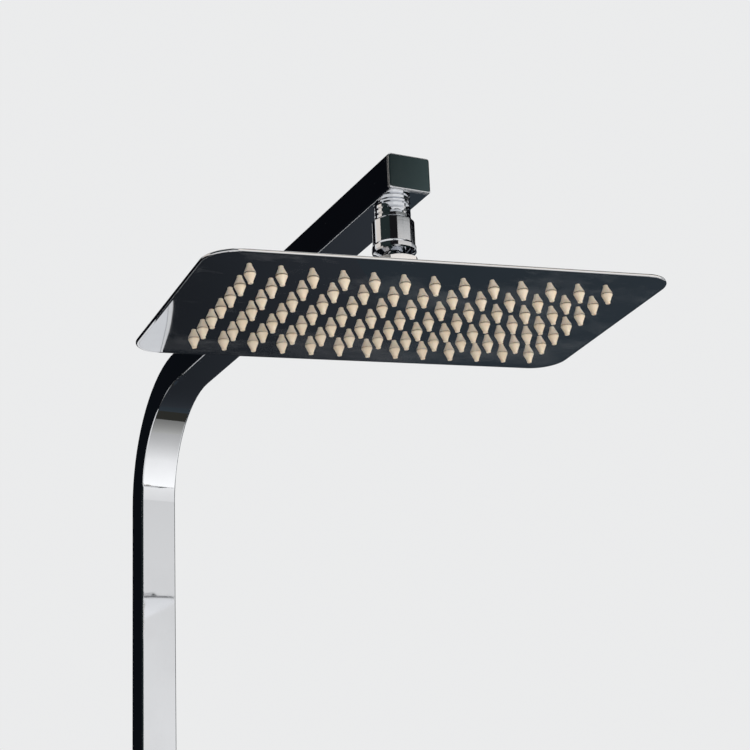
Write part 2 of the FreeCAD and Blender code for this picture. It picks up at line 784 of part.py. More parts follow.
def nozzle(x, y, root):
    """One hollow silicone nozzle: neck in the plate, cone and straight tip below it."""
    base = rim_low.number + crown_height(x, y) - dim("nozzle_lift").number
    tip = base - dim("nozzle_length").number
    bore, end, neck = dim("nozzle_bore").number, dim("nozzle_tip").number, dim("nozzle_neck").number
    inside = neck - 1.0
    corners = [(bore, tip), (end - 0.25, tip), (end, tip + 0.3),
               (end, tip + dim("nozzle_tip_length").number),
               (dim("nozzle_shoulder").number, base - 1.1), (dim("nozzle_base").number, base - 0.5),
               (dim("nozzle_base").number, base), (neck, base), (neck, root), (inside, root),
               (inside, base - 1.5), (bore, tip + 2.4)]
    wire = Part.makePolygon([Vector(r, 0, z) for r, z in corners] + [Vector(bore, 0, tip)])
    solid = Part.Face(wire).revolve(Vector(0, 0, 0), Vector(0, 0, 1), 360)
    solid.translate(Vector(x, y, 0))
    return solid


def nozzle_mat():
    """One silicone mat: a web inside the head, and the nozzles through the plate."""
    lift = rim_low.number + dim("face_sheet").number + 0.1
    web = crowned_sheet(dim("mat_web").number, lift, dim("mat_margin").number)
    radius = dim("nozzle_neck").number - 0.3
    drills = [Part.makeCylinder(radius, 20, Vector(x, y, rim_low.number - 10))
              for x, y in nozzle_places()]
    web = web.cut(drills)
    nozzles = [nozzle(x, y, lift + crown_height(x, y) + dim("mat_web").number * 0.8)
               for x, y in nozzle_places()]
    return node_shape("nozzle_mat", web.multiFuse(nozzles))


node(head_pan(), ball_place, head_turn)
node(face_plate(), ball_place, head_turn)
node(nozzle_mat(), ball_place, head_turn)

# ---------------------------------------------------------------- the column's foot


def riser_spigot():
    """Plug brazed in the tube's foot, with a flanged round neck under it."""
    flange_low = port_top + dim("riser_seal_height") + dim("disc_gap") * 2
    flange_high = flange_low + dim("spigot_flange_height")
    shoulder = dim("foot_height") - dim("spigot_plate")
    neck = turned("spigot_neck_turning", [
        (dim("spigot_bore"), flange_low), (dim("spigot_flange"), flange_low),
        (dim("spigot_flange"), flange_high), (dim("spigot_neck"), flange_high),
        (dim("spigot_neck"), shoulder + 0.5), (dim("spigot_bore"), shoulder + 0.5)])
    plate = slab("spigot_shoulder", dim("tube_width"), dim("tube_depth"), dim("tube_corner"),
                 dim("spigot_plate"), lift=shoulder)
    plug = tube_plug("spigot_plug_block", dim("spigot_plug"), dim("foot_height"))
    bore = cylinder("spigot_bore_tool", dim("spigot_bore"), dim("spigot_plug") + 10,
                    (0, 0, shoulder - 2))
    return cut("riser_spigot", fuse("spigot_blank", neck, plate, plug), bore)


def riser_nut():
    """Round union nut that pulls the column on the mixer."""
    low = dim("mixer_height") / 2 + 1.0
    high = low + dim("riser_nut_height")
    lip = port_top + dim("riser_seal_height") + dim("spigot_flange_height") + 0.3
    thread, neck = dim("thread_three_quarter") + dim("thread_gap"), dim("spigot_neck") + 0.25
    radius = dim("riser_nut_radius")
    return turned("riser_nut", [
        (thread, low), (radius - 0.8, low), (radius, low + 0.8), (radius, high - 2.2),
        (radius - 2.2, high), (neck, high), (neck, lip), (thread, lip)])


column_place = (0, centre_y, mixer_z)
node(riser_spigot(), column_place)
node(riser_nut(), column_place)
node(ring("riser_seal", dim("spigot_bore"), dim("spigot_flange") - 0.2, port_top + dim("disc_gap"),
          port_top + dim("riser_seal_height")), column_place)

# ---------------------------------------------------------------- the bar mixer

inlet_face = dim("union_collar") + dim("union_nose") + dim("union_seal_height") + dim("disc_gap") * 2
side_x = (-dim("union_pitch") / 2, dim("union_pitch") / 2)


def bore_along_x(name, radius, length, start, y=0, z=0):
    return cylinder(name, radius, length, (start, y, z), Rotation(Vector(0, 1, 0), 90))


def bore_to_wall(name, radius, length, x, start, z=0):
    """A round tool that runs from a depth in front of the wall back towards it."""
    return cylinder(name, radius, length, (x, start, z), Rotation(Vector(1, 0, 0), -90))


def mixer_body():
    """Rectangular bar with its inlets behind, its port on top and its water ways inside."""
    half = dim("mixer_length") / 2
    bar = slab("mixer_bar", dim("mixer_height"), dim("mixer_deep"), dim("mixer_corner"),
               dim("mixer_length"))
    dress(bar, "Chamfer", "mixer_end_bevel", "Size", size(0.8),
          lambda edge: level(edge, 0.0) or level(edge, dim("mixer_length").number))
    place(bar, (-half, 0, 0), Rotation(Vector(0, 1, 0), 90))
    adds = [bar, cylinder("mixer_port", dim("thread_three_quarter"), port_top)]
    cuts = [cylinder("mixer_port_bore", dim("port_bore"), port_top, (0, 0, dim("gallery_bore") + 1.5)),
            cylinder("mixer_hose_bore", dim("hose_root") + dim("thread_gap"), dim("mixer_height") / 2,
                     (0, 0, -dim("mixer_height") / 2 - dim("gallery_bore") - 5))]
    neck_start = dim("tube_centre") - inlet_face
    for name, x in zip(("hot", "cold"), side_x):
        adds.append(bore_to_wall(name + "_inlet_neck", dim("inlet_neck"), neck_start, x, 0))
        adds.append(bore_to_wall(name + "_inlet_flange", dim("inlet_flange"),
                                 dim("inlet_flange_height"), x,
                                 neck_start - dim("inlet_flange_height")))
        cuts.append(bore_to_wall(name + "_inlet_bore", dim("union_bore"), neck_start + 1, x, 0))
    for name, start in (("hot", -half - 1), ("cold", half - dim("chamber_depth"))):
        cuts.append(bore_along_x(name + "_chamber", dim("chamber_bore"), dim("chamber_depth") + 1, start))
    inner = half - dim("chamber_depth")
    cuts.append(bore_along_x("mixed_gallery", dim("gallery_bore"), inner * 2 + 2, -inner - 1))
    for name, z in (("rain", dim("gallery_shift")), ("hose", -dim("gallery_shift"))):
        cuts.append(bore_along_x(name + "_gallery", dim("gallery_bore"), inner + 1, -inner - 1, 0, z))
    return cut("mixer_body", fuse("mixer_blank", *adds), *cuts)


def wall_union(name):
    """Eccentric union: a thread for the wall, and a raised nose for the mixer's nut."""
    lift = dim("union_offset")
    into_wall = bore_to_wall(name + "_wall_thread", dim("thread_half"), dim("union_thread"), 0, 0)
    collar = bore_to_wall(name + "_collar", dim("union_collar_radius") + lift / 2,
                          dim("union_collar"), 0, -dim("union_collar"), lift / 2)
    nose = bore_to_wall(name + "_nose", dim("thread_three_quarter"), dim("union_nose") + 2, 0,
                        -dim("union_collar") - dim("union_nose"), lift)
    wall_bore = bore_to_wall(name + "_wall_bore", dim("union_bore"),
                             dim("union_thread") + dim("union_collar") / 2 + 1, 0,
                             -dim("union_collar") / 2)
    nose_bore = bore_to_wall(name + "_nose_bore", dim("union_bore"),
                             dim("union_nose") + dim("union_collar") / 2 + 2, 0,
                             -dim("union_collar") - dim("union_nose") - 1, lift)
    return cut(name, fuse(name + "_blank", into_wall, collar, nose), wall_bore, nose_bore)


def union_nut(name):
    """Hexagon nut over a union's nose, with a lip behind the mixer's flange."""
    high = dim("union_nut_height")
    corner = dim("union_nut_flats") * HEXAGON_CORNER
    blank = turned(name + "_turning", [
        (0, 0), (corner - 1.2, 0), (corner + 0.2, 0.9), (corner + 0.2, high - 1.6),
        (corner - 2.4, high), (0, high)])
    solid = common(name + "_blank", blank, hexagon(name + "_hexagon", dim("union_nut_flats"), high))
    lip = dim("inlet_neck") + 0.25
    neck = cylinder(name + "_lip_bore", lip, high + 2, (0, 0, -1))
    thread = cylinder(name + "_thread_bore", dim("thread_three_quarter") + dim("thread_gap"),
                      high - dim("union_nut_lip") + 1, (0, 0, -1))
    return cut(name, solid, neck, thread)


def union_cover(name):
    """Square cover that hides the hole in the wall."""
    high, sheet_size = dim("cover_height"), dim("cover_sheet")
    shell = slab(name + "_shell", dim("cover_side"), dim("cover_side"), dim("cover_corner"), high)
    dress(shell, "Fillet", name + "_rounding", "Radius", size(1.0),
          lambda edge: level(edge, high.number))
    hollow = slab(name + "_hollow", dim("cover_side") - sheet_size * 2,
                  dim("cover_side") - sheet_size * 2, dim("cover_corner") - sheet_size, high,
                  lift=-sheet_size)
    return cut(name, shell, hollow, cylinder(name + "_hole", dim("cover_hole"), high * 2))


def check_valve(name):
    """Non-return valve: a short cage round a mushroom-shaped plunger."""
    cage = ring(name + "_cage", dim("valve_radius") - 1.3, dim("valve_radius"), 0, dim("valve_length"))
    reach = dim("valve_radius") - 1.0
    plunger = turned(name + "_plunger", [
        (0, 1.0), (reach, 1.0), (reach, 2.4), (1.2, 3.6), (1.2, dim("valve_length") - 2.0),
        (0, dim("valve_length") - 2.0)])
    spider = box(name + "_spider", (reach * 2, 1.6, 1.6), (0, 0, dim("valve_length") - 3.5))
    return fuse(name, cage, plunger, spider)


def pair(label, maker, at_y, at_z, turn):
    """Two equal pieces, one on each side, kept in one node."""
    sides = [place(maker(f"{label}_{side}"), (x, at_y, at_z), turn)
             for side, x in zip(("hot", "cold"), side_x)]
    group = doc.addObject("Part::Compound", label)
    group.Links = sides
    return node(named(group, label))


def union_seal(name):
    return ring(name, dim("union_bore"), dim("inlet_flange") - 0.2, 0, dim("union_seal_height"))


nose_end = dim("union_collar") + dim("union_nose")
nut_start = inlet_face + dim("inlet_flange_height") + dim("union_nut_lip") + 0.1 - dim("union_nut_height")

node(mixer_body(), column_place)
pair("wall_unions", wall_union, 0, 0, None)
pair("union_nuts", union_nut, -nut_start, mixer_z, to_room)
pair("union_seals", union_seal, -nose_end - dim("disc_gap"), mixer_z, to_room)
pair("union_covers", union_cover, -dim("wall_gap"), mixer_z, to_room)
pair("check_valves", check_valve, -inlet_face - 1, mixer_z, to_room)

# ---------------------------------------------------------------- the two controls

control_right = Rotation(Vector(0, 0, 1), Vector(0, -1, 0), Vector(1, 0, 0), "ZXY")
control_left = Rotation(Vector(0, 0, 1), Vector(0, 1, 0), Vector(-1, 0, 0), "ZXY")
mixer_end = dim("mixer_length") / 2
hub_top = dim("spindle_outside") + dim("hub_room")


def cartridge(label):
    """Valve insert: sealing rings round a slotted barrel, with the spindle's bore."""
    length = dim("cartridge_length")
    radius, wide, high = dim("cartridge_radius"), dim("cartridge_ring"), dim("cartridge_ring_height")
    bore = dim("spindle_radius") + dim("spindle_gap")
    top = -dim("cartridge_depth")
    low = top - length
    middle = low + length / 2
    points = [(0, low), (wide, low), (wide, low + high), (radius, low + high),
              (radius, middle - high / 2), (wide, middle - high / 2),
              (wide, middle + high / 2), (radius, middle + high / 2),
              (radius, top - high), (wide, top - high), (wide, top),
              (bore, top), (bore, top - dim("spindle_inside")), (0, top - dim("spindle_inside"))]
    return turned(label, points)


def spindle(label):
    """The turning shaft: a journal in the cartridge, a shoulder and a drive end."""
    top = -dim("cartridge_depth")
    low = top - dim("spindle_inside") + 0.5
    shoulder = top + 0.3
    end = dim("spindle_outside")
    radius = dim("spindle_radius")
    shaft = turned(label + "_shaft", [
        (0, low), (radius, low), (radius, shoulder), (dim("spindle_shoulder"), shoulder),
        (dim("spindle_shoulder"), shoulder + 1.5), (radius, shoulder + 1.5), (radius, end), (0, end)])
    flat = box(label + "_flat", (radius * 2, radius, size(12)), (0, radius * 1.25, end - 12))
    hole = cylinder(label + "_screw_hole", dim("screw_radius") + 0.05, dim("screw_length") + 1,
                    (0, 0, end - dim("screw_length")))
    return cut(label, shaft, flat, hole)


def gland(label):
    """Threaded ring that holds the cartridge, with a flange against the mixer's end."""
    low, high = dim("disc_gap") * 2 - dim("cartridge_depth"), dim("gland_proud")
    return turned(label, [
        (dim("gland_bore"), low), (dim("gland_radius"), low), (dim("gland_radius"), 0.1),
        (dim("gland_flange"), 0.1), (dim("gland_flange"), 1.6), (dim("gland_collar"), 1.6),
        (dim("gland_collar"), high), (dim("gland_bore"), high)])


def knob(label, with_button):
    """Square knob: skirt round the gland, hub on the spindle, grooves for the fingers."""
    low, high = dim("knob_clearance"), dim("knob_clearance") + dim("knob_length")
    side = dim("knob_side")
    block = slab(label + "_block", side, side, dim("knob_corner"), dim("knob_length"), lift=low)
    dress(block, "Fillet", label + "_edges", "Radius", dim("knob_edge"),
          lambda edge: level(edge, high.number) or level(edge, low.number))
    skirt = cylinder(label + "_skirt_bore", dim("knob_skirt_bore"), dim("knob_skirt") - 6, (0, 0, low - 1))
    hub_bore = cylinder(label + "_hub_bore", dim("spindle_radius") + 0.04, hub_top)
    room = cylinder(label + "_screw_bore", dim("screw_radius") + 0.3, dim("knob_length"), (0, 0, 1))
    well = cylinder(label + "_cap_well", dim("knob_cap_radius") + 0.1, dim("knob_length"),
                    (0, 0, hub_top + dim("hub_web")))
    cuts = [skirt, hub_bore, room, well]
    for number in range(count("grip_count")):
        z = high - dim("grip_start") - dim("grip_pitch") * number
        for side_name, y in (("back", -side / 2), ("front", side / 2)):
            cuts.append(box(f"{label}_groove_{number}_{side_name}",
                            (dim("grip_length"), dim("grip_depth") * 2, dim("grip_width")), (0, y, z)))
    if with_button:
        gap = dim("button_gap")
        z = low + dim("button_place") - dim("button_long") / 2 - gap
        pocket = box(label + "_button_pocket",
                     (dim("button_seat"), dim("button_wide") + gap * 2, dim("button_long") + gap * 2),
                     (side / 2 - dim("button_seat") / 2 + 0.01, 0, z))
        cuts.append(pocket)
    return cut(label, block, *cuts)


def cap_screw(label):
    """Socket-head screw that holds a knob on its spindle."""
    seat_at = hub_top + dim("hub_web") + dim("disc_gap")
    head_top = seat_at + dim("screw_head_height")
    shank_end = dim("spindle_outside") - dim("screw_length") + 1.5
    turned_screw = turned(label + "_turning", [
        (0, shank_end), (dim("screw_radius"), shank_end), (dim("screw_radius"), seat_at),
        (dim("screw_head"), seat_at), (dim("screw_head"), head_top), (0, head_top)])
    key = hexagon(label + "_key", dim("screw_socket") * 2, dim("screw_head_height"),
                  (0, 0, head_top - 1.5))
    return cut(label, turned_screw, key)


def knob_cap(label):
    """Round cap that clips in the knob's face, over the screw."""
    high = dim("knob_clearance") + dim("knob_length")
    inner = dim("knob_cap_radius") - 1.2
    top = high + 0.4
    return turned(label, [
        (0, top - dim("knob_cap_height")), (inner, top - dim("knob_cap_height")),
        (inner, top - dim("knob_cap_height") - dim("knob_cap_clip")),
        (dim("knob_cap_radius"), top - dim("knob_cap_height") - dim("knob_cap_clip")),
        (dim("knob_cap_radius"), top - 0.5), (dim("knob_cap_radius") - 0.5, top), (0, top)])


def control(name, turn, x, with_button):
    """Cartridge, gland, spindle, knob, screw and cap at one end of the mixer."""
    at = (x, centre_y, mixer_z)
    node(cartridge(name + "_cartridge"), at, turn)
    node(gland(name + "_gland"), at, turn)
    node(spindle(name + "_spindle"), at, turn)
    node(knob(name + "_knob", with_button), at, turn)
    node(cap_screw(name + "_screw"), at, turn)
    node(knob_cap(name + "_cap"), at, turn)


control("thermostat", control_right, mixer_end, True)
control("diverter", control_left, -mixer_end, False)

# ---------------------------------------------------------------- the thermostat's stop button

button_x = mixer_end + dim("knob_clearance") + dim("button_place")
knob_top = mixer_z + dim("knob_side") / 2
seat_z = knob_top - dim("button_seat")


def safety_button():
    """Push piece in the knob's upper face: a crowned pad with a guide stem."""
    body = slab("button_pad", dim("button_long"), dim("button_wide"), size(1.5),
                dim("button_seat") + dim("button_proud") - dim("spring_height"),
                lift=dim("spring_height"))
    top = dim("button_seat") + dim("button_proud")
    dress(body, "Fillet", "button_rounding", "Radius", size(0.8), lambda edge: level(edge, top.number))
    stem = cylinder("button_guide", dim("button_stem"), dim("spring_height"), (0, 0, 1.6))
    return fuse("safety_button", body, stem)


def button_spring():
    """Compression spring round the button's stem."""
    wire, radius = dim("spring_wire").number, dim("spring_radius").number
    low = wire + 0.05
    height = dim("spring_height").number - low * 2
    helix = Part.makeHelix(height / count("spring_turns"), height, radius)
    helix.translate(Vector(0, 0, low))
    section = Part.Wire([Part.Circle(Vector(radius, 0, low), Vector(0, 1, 0), wire).toShape()])
    return node_shape("button_spring", Part.Wire(helix.Edges).makePipeShell([section], True, True))


node(safety_button(), (button_x, centre_y, seat_z))
node(button_spring(), (button_x, centre_y, seat_z))

# ---------------------------------------------------------------- the hose outlet


def hand_outlet():
    """Screwed outlet under the mixer: a hexagon collar and a free G 1/2 thread."""
    under = -dim("mixer_height") / 2
    collar_low = under - dim("hose_collar")
    end = collar_low - dim("hose_thread")
    pipe = turned("hose_turning", [
        (dim("hose_bore"), end), (dim("thread_half") - 0.8, end), (dim("thread_half"), end + 0.8),
        (dim("thread_half"), collar_low + 0.5), (dim("hose_root"), collar_low + 0.5),
        (dim("hose_root"), under + 8), (dim("hose_bore"), under + 8)])
    collar = hexagon("hose_collar_hexagon", dim("hose_flats"), dim("hose_collar") - 0.1,
                     (0, 0, collar_low))
    bore = cylinder("hose_bore_tool", dim("hose_bore"), 40, (0, 0, end - 1))
    return cut("hand_outlet", fuse("hose_blank", pipe, collar), bore)


node(hand_outlet(), column_place)

# ---------------------------------------------------------------- the wall bracket

column_back = dim("tube_centre") - dim("tube_depth") / 2


def bracket_plate():
    """Wall plate: two screw holes, one over the other, and a round spigot for the post."""
    body = slab("bracket_plate", dim("bracket_side"), dim("bracket_side"), dim("bracket_corner"),
                dim("bracket_sheet"))
    spigot = new_sketch(body, "bracket_spigot_circle", lift=dim("bracket_sheet"))
    circle(spigot, dim("bracket_spigot"))
    feature(body, "Pad", "bracket_spigot_pad", spigot, Length=dim("bracket_spigot_length"))
    holes = new_sketch(body, "bracket_screw_holes")
    for sign in (-1, 1):
        circle(holes, dim("bracket_hole"), 0, dim("bracket_hole_pitch") / 2 * sign)
    feature(body, "Pocket", "bracket_screw_pocket", holes, Reversed=True, Length=dim("bracket_sheet") * 2)
    return body


def bracket_post():
    """Square stand-off: socket over the wall spigot, thread on the column's stud."""
    low = dim("bracket_sheet") + 0.1
    body = slab("bracket_post", dim("post_side"), dim("post_side"), dim("post_corner"),
                column_back - low - 0.05, lift=low)
    socket = new_sketch(body, "post_socket", lift=low)
    circle(socket, dim("bracket_spigot") + 0.08)
    feature(body, "Pocket", "post_socket_pocket", socket, Reversed=True,
            Length=dim("bracket_spigot_length") + 1)
    thread = new_sketch(body, "post_thread", lift=column_back)
    circle(thread, dim("stud_radius") + 0.08)
    feature(body, "Pocket", "post_thread_pocket", thread, Length=dim("stud_length") + 1)
    side = new_sketch(body, "post_grub_hole", "XZ_Plane")
    circle(side, dim("grub_radius") + 0.05, 0, dim("bracket_sheet") + dim("bracket_spigot_length") * 0.65)
    feature(body, "Pocket", "post_grub_pocket", side, Reversed=True, Length=dim("post_side"))
    return body


def bracket_cover():
    """Square cover that slides along the post over the wall plate."""
    high, sheet_size = dim("bracket_cover_height"), dim("cover_sheet")
    outer = dim("bracket_cover_side")
    shell = slab("bracket_cover_shell", outer, outer, dim("cover_corner"), high)
    dress(shell, "Fillet", "bracket_cover_rounding", "Radius", size(1.0),
          lambda edge: level(edge, high.number))
    hollow = slab("bracket_cover_hollow", outer - sheet_size * 2, outer - sheet_size * 2,
                  dim("cover_corner") - sheet_size, high, lift=-sheet_size)
    hole = slab("bracket_cover_hole", dim("post_side") + dim("post_gap") * 2,
                dim("post_side") + dim("post_gap") * 2, dim("post_corner") + dim("post_gap"),
                high * 2)
    return cut("bracket_cover", shell, hollow, hole)


def bracket_grub_screw():
    """Headless screw through the underside of the post, against the spigot."""
    start = dim("bracket_spigot") + 0.05
    length = dim("post_side") / 2 - start - 0.4
    pin = cylinder("grub_pin", dim("grub_radius"), length, (0, 0, start))
    key = hexagon("grub_key", dim("grub_radius") * 1.1, size(2), (0, 0, start + length - 1.5))
    return cut("bracket_grub_screw", pin, key)


bracket_at = (0, 0, dim("bracket_height"))
node(bracket_plate(), bracket_at, to_room)
node(bracket_post(), bracket_at, to_room)
node(bracket_cover(), (0, -dim("wall_gap"), dim("bracket_height")), to_room)
grub_y = -dim("bracket_sheet") - dim("bracket_spigot_length") * 0.65
node(bracket_grub_screw(), (0, grub_y, dim("bracket_height")), Rotation(Vector(1, 0, 0), 180))
node(cylinder("riser_stud", dim("stud_radius"), dim("stud_length")),
     (0, -column_back, dim("bracket_height")), to_wall)

# ---------------------------------------------------------------- checks and files

doc.recompute()
for thing in doc.Objects:
    if {"Invalid", "Error"} & set(thing.State):
        raise RuntimeError(f"{thing.Label} failed: {thing.State}")
for thing in NODES:
    shape = thing.Shape
    if shape.isNull() or not shape.isValid() or not shape.Solids:
        raise RuntimeError(f"{thing.Label} is not a valid solid")
    shape.exportStep(f"parts/{thing.Label}.step")
    bounds = shape.BoundBox
    print(f"{thing.Label:24s} solids {len(shape.Solids):2d} volume {shape.Volume:12.1f}"
          f"  x {bounds.XMin:8.2f} {bounds.XMax:8.2f}  y {bounds.YMin:8.2f} {bounds.YMax:8.2f}"
          f"  z {bounds.ZMin:8.2f} {bounds.ZMax:8.2f}")
print(len(NODES), "sub-parts")
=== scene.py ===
import json
import math

import bpy
from mathutils import Matrix, Vector

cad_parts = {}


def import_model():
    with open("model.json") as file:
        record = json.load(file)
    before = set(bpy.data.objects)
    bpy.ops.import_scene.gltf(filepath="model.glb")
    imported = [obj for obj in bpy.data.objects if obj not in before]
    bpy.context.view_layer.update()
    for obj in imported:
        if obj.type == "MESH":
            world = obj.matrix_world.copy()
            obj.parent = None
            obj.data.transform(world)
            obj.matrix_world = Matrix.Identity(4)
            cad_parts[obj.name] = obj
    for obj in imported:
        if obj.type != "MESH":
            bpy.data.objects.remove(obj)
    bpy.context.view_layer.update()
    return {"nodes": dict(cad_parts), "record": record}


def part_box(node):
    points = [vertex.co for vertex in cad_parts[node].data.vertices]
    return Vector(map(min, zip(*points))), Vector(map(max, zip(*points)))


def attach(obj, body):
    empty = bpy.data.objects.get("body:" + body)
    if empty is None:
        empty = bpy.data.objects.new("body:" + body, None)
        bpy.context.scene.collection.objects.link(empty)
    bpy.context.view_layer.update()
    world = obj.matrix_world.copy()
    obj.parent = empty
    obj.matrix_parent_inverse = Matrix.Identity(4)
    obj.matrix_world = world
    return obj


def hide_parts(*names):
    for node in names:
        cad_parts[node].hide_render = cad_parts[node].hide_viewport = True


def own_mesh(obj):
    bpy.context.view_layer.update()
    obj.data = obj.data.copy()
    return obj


# The looks of a wall-hung shower column: bright chrome on the tube, fittings and mixer, a polished
# steel rain head, and pale silicone nozzles. Metres, +Z up, the wall is Y = 0, the room is on -Y.
# The sizes of the pieces made here are in millimetres.

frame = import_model()
nodes = frame["nodes"]

MM = 0.001


def link(made):
    """Puts an object in the scene."""
    bpy.context.scene.collection.objects.link(made)
    return made


# ---------------------------------------------------------------- how a finish is made


class Finish:
    """One material: a Principled shader, and the textures that feed it."""

    def __init__(self, name, colour, metallic, roughness):
        self.made = bpy.data.materials.new(name)
        self.made.use_nodes = True
        self.tree = self.made.node_tree
        self.shader = self.tree.nodes["Principled BSDF"]
        self.place = self.tree.nodes.new("ShaderNodeTexCoord").outputs["Object"]
        self.level("Base Color", (*colour, 1.0))
        self.level("Metallic", metallic)
        self.level("Roughness", roughness)

    def level(self, socket, value):
        """One plain value for a socket of the shader."""
        self.shader.inputs[socket].default_value = value

    def feed(self, socket, source):
        """A texture for a socket of the shader."""
        self.tree.links.new(source, self.shader.inputs[socket])

    def node(self, kind, inputs, **settings):
        """A node whose inputs are plain values or the outputs of other nodes."""
        made = self.tree.nodes.new("ShaderNode" + kind)
        for name, value in settings.items():
            setattr(made, name, value)
        for key, value in inputs.items():
            if isinstance(value, bpy.types.NodeSocket):
                self.tree.links.new(value, made.inputs[key])
            else:
                made.inputs[key].default_value = value
        return made

    def stretched(self, scale):
        """The object's own coordinates, stretched along its axes."""
        return self.node("Mapping", {"Vector": self.place, "Scale": scale}).outputs["Vector"]

    def noise(self, scale, detail=3.0, roughness=0.55, along=None):
        """Random blotches, smaller as the scale grows, and drawn out where along is small."""
        source = self.stretched(along) if along else self.place
        made = self.node("TexNoise", {"Vector": source, "Scale": scale, "Detail": detail,
                                      "Roughness": roughness})
        return made.outputs["Fac"]

    def spread(self, source, low, high, start=0.3, end=0.7):
        """A texture's value, carried from start..end to low..high and held there."""
        made = self.node("MapRange", {"Value": source, "From Min": start, "From Max": end,
                                      "To Min": low, "To Max": high})
        return made.outputs["Result"]

    def blend(self, share, first, second):
        """From one colour to another, as a texture's share goes from 0 to 1."""
        made = self.node("Mix", {}, data_type="RGBA")
        sockets = {socket.identifier: socket for socket in made.inputs}
        self.tree.links.new(share, sockets["Factor_Float"])
        sockets["A_Color"].default_value = (*first, 1.0)
        sockets["B_Color"].default_value = (*second, 1.0)
        return next(socket for socket in made.outputs if socket.identifier == "Result_Color")

    def bump(self, height, depth, under=None):
        """Relief of a real depth in metres, over an earlier relief if there is one."""
        inputs = {"Height": height, "Distance": depth, "Strength": 1.0}
        if under is not None:
            inputs["Normal"] = under
        return self.node("Bump", inputs).outputs["Normal"]


EDGE_SAMPLES = 6
SMEAR_SHADE = 0.93
RIPPLE_SCALE, RIPPLE_DEPTH = 22.0, 0.00004
HAIRLINE_SCALE, HAIRLINE_DEPTH = 900.0, 0.0000009
FILM_SCALE, FILM_STRETCH = 17.0, (0.55, 1.0, 1.0)


def plated(name, colour, low, high, grain=(1.0, 1.0, 0.05), smear=14.0, edge=0.0, film=0.0):
    """Bright plate or polished metal, with a roughness from low to high.

    It has faint smears, a slow ripple and hairlines along the grain. An edge is softened over that
    many metres, and a film takes up to that share of the metal's shine.
    """
    finish = Finish(name, colour, 1.0, low)
    softened = None
    if edge:
        softened = finish.node("Bevel", {"Radius": edge}, samples=EDGE_SAMPLES).outputs["Normal"]
    smears = finish.noise(smear, detail=5.0, roughness=0.6)
    finish.feed("Roughness", finish.spread(smears, low, high, start=0.42, end=0.72))
    darker = tuple(channel * SMEAR_SHADE for channel in colour)
    smeared = finish.spread(smears, 0.0, 1.0, start=0.45, end=0.75)
    finish.feed("Base Color", finish.blend(smeared, colour, darker))
    wave = finish.bump(finish.noise(RIPPLE_SCALE, detail=1.0), RIPPLE_DEPTH, softened)
    lines = finish.noise(HAIRLINE_SCALE, detail=2.0, along=grain)
    finish.feed("Normal", finish.bump(lines, HAIRLINE_DEPTH, wave))
    if film:
        dried = finish.noise(FILM_SCALE, detail=6.0, roughness=0.7, along=FILM_STRETCH)
        finish.feed("Metallic", finish.spread(dried, 1.0, 1.0 - film, start=0.47, end=0.72))
    return finish.made


def silicone():
    """Soft pale silicone, a little waxy, and darker in blotches."""
    finish = Finish("nozzle_silicone", (0.84, 0.72, 0.56), 0.0, 0.36)
    blotches = finish.spread(finish.noise(160.0, detail=4.0), 0.0, 1.0)
    finish.feed("Base Color", finish.blend(blotches, (0.87, 0.75, 0.59), (0.80, 0.66, 0.49)))
    finish.feed("Roughness", finish.spread(finish.noise(400.0), 0.36, 0.52))
    finish.feed("Normal", finish.bump(finish.noise(1600.0), 0.00002))
    finish.level("Subsurface Weight", 0.25)
    finish.level("Subsurface Radius", (0.0016, 0.0010, 0.0006))
    finish.level("Sheen Weight", 0.15)
    return finish.made


MOULDED_SHADE = 0.86
MOULDED_GRAIN = 0.00001


def moulded(name, colour, roughness):
    """Moulded plastic, rubber or enamel, with a fine even grain."""
    finish = Finish(name, colour, 0.0, roughness)
    darker = tuple(channel * MOULDED_SHADE for channel in colour)
    blotches = finish.spread(finish.noise(60.0), 0.0, 1.0)
    finish.feed("Base Color", finish.blend(blotches, colour, darker))
    finish.feed("Roughness", finish.spread(finish.noise(500.0), roughness - 0.05, roughness + 0.08))
    finish.feed("Normal", finish.bump(finish.noise(2600.0), MOULDED_GRAIN))
    return finish.made


# ---------------------------------------------------------------- the finishes

CHROME = (0.80, 0.81, 0.83)
FACE_STEEL = (0.64, 0.65, 0.67)
PAN_STEEL = (0.70, 0.70, 0.71)
PLAIN_STEEL = (0.56, 0.56, 0.57)
BRASS = (0.71, 0.55, 0.27)

